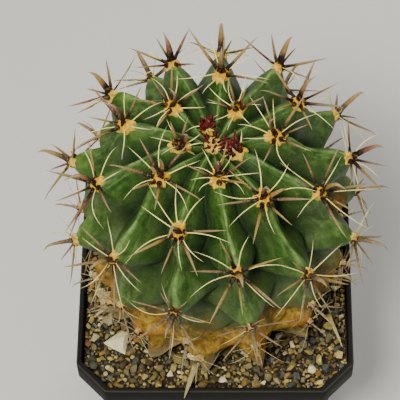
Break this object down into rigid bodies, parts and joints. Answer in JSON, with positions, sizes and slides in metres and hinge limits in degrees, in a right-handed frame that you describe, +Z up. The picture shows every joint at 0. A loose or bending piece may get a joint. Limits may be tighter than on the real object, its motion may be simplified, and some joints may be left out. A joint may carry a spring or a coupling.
{
  "type": "potted barrel cactus",
  "caption": "Ribbed barrel cactus with spine clusters on its areoles, rooted in mineral grit in a square plastic pot.",
  "frame": {"origin": "centre of the pot's flat underside", "axes": "+Z up through the plant, X and Y square to the pot's sides, -Y the side that the picture shows nearest"},
  "size_m": [0.1599, 0.1593, 0.2497],
  "materials": {
    "black_plastic": "satin",
    "grit": "matte",
    "green_skin": "satin",
    "spine": "satin",
    "wool": "matte"
  },
  "bodies": {
    "root": {"cactus_body": "green_skin", "crown_wool": "wool", "pot": "black_plastic", "soil": "grit", "spines_01": "spine", "spines_02": "spine", "spines_03": "spine", "spines_04": "spine", "spines_05": "spine", "spines_06": "spine", "spines_07": "spine", "spines_08": "spine", "spines_09": "spine", "spines_10": "spine", "spines_11": "spine", "spines_12": "spine", "spines_13": "spine", "spines_14": "spine", "spines_15": "spine", "spines_16": "spine", "spines_17": "spine", "spines_18": "spine", "spines_19": "spine", "spines_20": "spine", "spines_21": "spine", "spines_22": "spine", "spines_23": "spine", "spines_24": "spine", "spines_25": "spine", "spines_26": "spine", "spines_27": "spine", "spines_28": "spine", "spines_29": "spine", "spines_30": "spine", "spines_31": "spine", "spines_32": "spine", "spines_33": "spine", "spines_34": "spine", "spines_35": "spine", "spines_36": "spine", "spines_37": "spine", "spines_38": "spine", "spines_39": "spine", "spines_40": "spine", "spines_41": "spine", "spines_42": "spine", "spines_43": "spine", "spines_44": "spine", "spines_45": "spine", "spines_46": "spine", "spines_47": "spine", "spines_48": "spine", "spines_49": "spine", "spines_50": "spine", "spines_51": "spine", "spines_52": "spine", "spines_53": "spine", "spines_54": "spine", "spines_55": "spine"}
  },
  "joints": []
}
